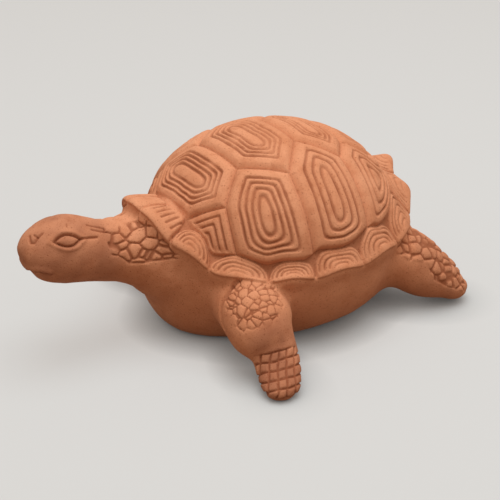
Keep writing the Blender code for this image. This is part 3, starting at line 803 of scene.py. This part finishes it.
points, normals = places(turtle.data), directions(turtle.data)
height, painted_shade = relief(points, normals)
height += layered(points, HAND_LUMPS)
carved = points + normals * height[:, None]
carved[:, 2] = np.clip(carved[:, 2], 0, None)
carved = np.where(points[:, 2:] < SOLE, points, carved)
put(turtle.data, carved)
thin = turtle.modifiers.new("fewer_faces", "DECIMATE")
thin.ratio = FACES_LEFT / (2 * len(turtle.data.polygons))
thin.use_collapse_triangulate = True
# The mesh keeps the painted shade of each cut, and how much smoke and hands have stained it.
ahead, aside = points[:, 0], np.abs(points[:, 1])
handled = HEAD_STAIN * ease(ahead, 100, 116)
handled = handled + FRONT_STAIN * (ahead > 20) * ease(aside, 76, 88)
handled = handled + REAR_STAIN * (ahead < -60) * ease(aside, 45, 60)
stained = handled * (0.65 + layered(points, STAIN_PATCHES))
for name, values in (("painted_shade", painted_shade), ("stain", stained)):
    turtle.data.attributes.new(name, "FLOAT", "POINT").data.foreach_set("value", values)
finished(turtle)
put(turtle.data, places(turtle.data) + [SHELL_CENTRE, 0, 0])
turtle.data.polygons.foreach_set("use_smooth", np.ones(len(turtle.data.polygons), dtype=bool))

# Fired clay
# Iron-rich clay fired bare: orange, dull and dusty, with sand grains and pinholes in the skin.
# Painted shade is in its colour: deeper on faces turned down, browner in cuts and partly in pits.
CLAY, PALE_CLAY, SMEARED_CLAY = (0.58, 0.240, 0.122), (0.66, 0.300, 0.165), (0.44, 0.150, 0.066)
# Deeper clay: painted shade on faces turned down. Brown: sand grains plus painted shade in cuts.
UNDERSIDE_PAINTED_SHADE, BROWN_GRAIN_AND_PAINTED_SHADE, STAIN = (0.40, 0.130, 0.055), (0.24, 0.066, 0.024), (0.34, 0.13, 0.068)
# Patches to the metre, of each kind.
CLOUDS, SMEARS, SAND, PORES = 34.0, 130.0, 1500.0, 420.0
SHEEN, GRIT_HEIGHT, PORE_DEPTH = 0.25, 0.0003, 0.0004


class Wiring:
    """The nodes of a material or of the world, made and joined one line at a time."""

    def __init__(self, tree):
        self.nodes, self.links = tree.nodes, tree.links

    def add(self, kind, values=(), **settings):
        """A node with its settings and input values; a node given as a value is linked in."""
        node = self.nodes.new(kind)
        for key, value in settings.items():
            setattr(node, key, value)
        for key, value in dict(values).items():
            self.feed(node.inputs[key], value)
        return node

    def feed(self, socket, value):
        """Link an output to a socket, or set the socket's value."""
        if isinstance(value, bpy.types.NodeSocket):
            self.links.new(value, socket)
        else:
            socket.default_value = value

    def blend(self, factor, first, second):
        """Colour between two, by a factor."""
        node = self.add("ShaderNodeMix", data_type="RGBA")
        self.feed(node.inputs["Factor"], factor)
        for slot, value in ((6, first), (7, second)):
            self.feed(node.inputs[slot], (*value, 1) if isinstance(value, tuple) else value)
        return node.outputs[2]

    def band(self, source, start, end, low=0.0, high=1.0):
        """A value moved from one range to another, with the ends held."""
        node = self.add("ShaderNodeMapRange", {0: source, 1: start, 2: end, 3: low, 4: high})
        return node.outputs[0]

    def noise(self, place, scale, detail):
        """Cloudy noise, from 0 to 1."""
        values = {"Vector": place, "Scale": scale, "Detail": detail}
        return self.add("ShaderNodeTexNoise", values).outputs[0]

    def looked_at(self):
        """1 for what the camera sees straight, mirrored or through glass, and 0 for light."""
        kinds = self.add("ShaderNodeLightPath").outputs
        camera_or_mirror = {0: kinds["Is Camera Ray"], 1: kinds["Is Glossy Ray"]}
        either = self.add("ShaderNodeMath", camera_or_mirror).outputs[0]
        with_glass = {0: either, 1: kinds["Is Transmission Ray"]}
        return self.add("ShaderNodeMath", with_glass, use_clamp=True).outputs[0]


fired_clay = bpy.data.materials.new("fired_clay")
fired_clay.use_nodes = True
clay = Wiring(fired_clay.node_tree)
spot = clay.add("ShaderNodeTexCoord").outputs["Object"]
clouds, smears = clay.noise(spot, CLOUDS, 4.0), clay.noise(spot, SMEARS, 3.0)
sand = clay.noise(spot, SAND, 2.0)
pore_cells = {"Vector": spot, "Scale": PORES, "Randomness": 1.0}
pores = clay.add("ShaderNodeTexVoronoi", pore_cells).outputs["Distance"]
shade_in_cuts = clay.add("ShaderNodeAttribute", attribute_name="painted_shade").outputs["Fac"]
stain = clay.add("ShaderNodeAttribute", attribute_name="stain").outputs["Fac"]
outward = clay.add("ShaderNodeNewGeometry").outputs["Normal"]
lift = clay.add("ShaderNodeSeparateXYZ", {0: outward}).outputs[2]
colour = clay.blend(clay.band(clouds, 0.35, 0.7), CLAY, PALE_CLAY)
colour = clay.blend(clay.band(smears, 0.50, 0.72, 0.0, 0.45), colour, SMEARED_CLAY)
# Painted shade: faces turned downwards are blended towards the deeper clay.
colour = clay.blend(clay.band(lift, 0.1, -0.5, 0.0, 0.5), colour, UNDERSIDE_PAINTED_SHADE)
colour = clay.blend(clay.band(stain, 0.0, 1.0, 0.0, 0.9), colour, STAIN)
colour = clay.blend(clay.band(sand, 0.55, 0.72, 0.0, 0.45), colour, BROWN_GRAIN_AND_PAINTED_SHADE)
# Dark specks at the pinholes: partly speckled clay, partly painted shade in the pits.
colour = clay.blend(clay.band(pores, 0.18, 0.08, 0.0, 0.65), colour, BROWN_GRAIN_AND_PAINTED_SHADE)
# Painted shade in every cut, seam, crease and the mouth.
colour = clay.blend(clay.band(shade_in_cuts, 0.15, 1.0, 0.0, 0.75), colour, BROWN_GRAIN_AND_PAINTED_SHADE)
gritty = {"Height": sand, "Strength": 0.35, "Distance": GRIT_HEIGHT}
grit = clay.add("ShaderNodeBump", gritty).outputs[0]
pinholes = {"Height": clay.band(pores, 0.05, 0.2), "Strength": 0.4, "Distance": PORE_DEPTH}
pitted = clay.add("ShaderNodeBump", {**pinholes, "Normal": grit}).outputs[0]
skin = clay.nodes["Principled BSDF"].inputs
clay.feed(skin["Base Color"], colour)
clay.feed(skin["Roughness"], clay.band(smears, 0.3, 0.7, 0.82, 0.95))
clay.feed(skin["Specular IOR Level"], SHEEN)
clay.feed(skin["Normal"], pitted)
turtle.data.materials.clear()
turtle.data.materials.append(fired_clay)

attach(turtle, "root")
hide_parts("turtle_figurine")

# Floor and light
# A matt pale floor that runs out of sight, under one wide soft lamp overhead and an even sky.
# The floor's pale glow, for the camera only, is painted light that lifts the shadows on it,
# and it fades where the clay comes close to it, painting a contact shadow.
FLOOR_HALF, FLOOR_BOUNCE, FLOOR_SEEN = 4.0, (0.28, 0.21, 0.155), (0.170, 0.195, 0.205)
FLOOR_PAINTED_LIGHT, PAINTED_CONTACT_SHADOW_WITHIN = (0.470, 0.440, 0.418, 1), 0.022
LAMP_SIZE, LAMP_POWER, LAMP_PLACE, LAMP_TURN = 1.1, 12.2, (-0.05, 0.12, 1.2), (-6, -2.5, 0)
SKY, SKY_LIGHT, SKY_SEEN = 0.57, (1, 0.84, 0.70, 1), (0.74, 0.735, 0.72, 1)

corners = np.array([(-1, -1), (1, -1), (1, 1), (-1, 1)]) * FLOOR_HALF
plain = bpy.data.meshes.new("floor")
plain.from_pydata(np.c_[corners, np.zeros(4)].tolist(), [], [(0, 1, 2, 3)])
floor = bpy.data.objects.new("floor", plain)
bpy.context.scene.collection.objects.link(floor)
pale_floor = bpy.data.materials.new("pale_floor")
pale_floor.use_nodes = True
paper = Wiring(pale_floor.node_tree)
direct = paper.looked_at()
# Painted contact shadow: the floor's camera-only glow fades near the clay by occlusion.
near = paper.add("ShaderNodeAmbientOcclusion", {"Distance": PAINTED_CONTACT_SHADOW_WITHIN}).outputs["AO"]
painted_floor_light = paper.add("ShaderNodeMath", {0: near, 1: direct}, operation="MULTIPLY").outputs[0]
sheet = paper.nodes["Principled BSDF"].inputs
paper.feed(sheet["Base Color"], paper.blend(direct, FLOOR_BOUNCE, FLOOR_SEEN))
paper.feed(sheet["Emission Color"], FLOOR_PAINTED_LIGHT)
paper.feed(sheet["Emission Strength"], painted_floor_light)
paper.feed(sheet["Roughness"], 0.85)
plain.materials.append(pale_floor)

lamp = bpy.data.lights.new("soft_lamp", "AREA")
lamp.shape, lamp.size, lamp.energy = "DISK", LAMP_SIZE, LAMP_POWER
hung = bpy.data.objects.new("soft_lamp", lamp)
hung.location, hung.rotation_euler = LAMP_PLACE, [radians(turn) for turn in LAMP_TURN]
bpy.context.scene.collection.objects.link(hung)

sky = bpy.data.worlds.new("studio")
bpy.context.scene.world = sky
sky.use_nodes = True
air = Wiring(sky.node_tree)
light = air.nodes["Background"]
air.feed(light.inputs["Color"], SKY_LIGHT)
air.feed(light.inputs["Strength"], SKY)
seen = air.add("ShaderNodeBackground", {"Color": SKY_SEEN})
either = {0: air.looked_at(), 1: light.outputs[0], 2: seen.outputs[0]}
choice = air.add("ShaderNodeMixShader", either)
air.feed(air.nodes["World Output"].inputs["Surface"], choice.outputs[0])

# Camera
# It looks down at the left side of the head and shell from ahead.
ROUND, ABOVE, DISTANCE, VIEW_ANGLE = radians(147.28), radians(26.09), 0.7589, radians(22)
AIM_AHEAD, AIM_HEIGHT = 13.7, 33.8

aim = np.array([AIM_AHEAD + SHELL_CENTRE, 0, AIM_HEIGHT]) / 1000
back = np.array([sin(ROUND) * cos(ABOVE), -cos(ROUND) * cos(ABOVE), sin(ABOVE)])
right = np.array([cos(ROUND), sin(ROUND), 0])
camera = bpy.data.objects.new("camera", bpy.data.cameras.new("camera"))
stance = np.eye(4)
stance[:3] = np.stack([right, np.cross(back, right), back, aim + back * DISTANCE], 1)
camera.matrix_world = stance.T.tolist()
camera.data.angle = VIEW_ANGLE
bpy.context.scene.collection.objects.link(camera)
bpy.context.scene.camera = camera
bpy.context.scene.view_settings.view_transform = "Standard"
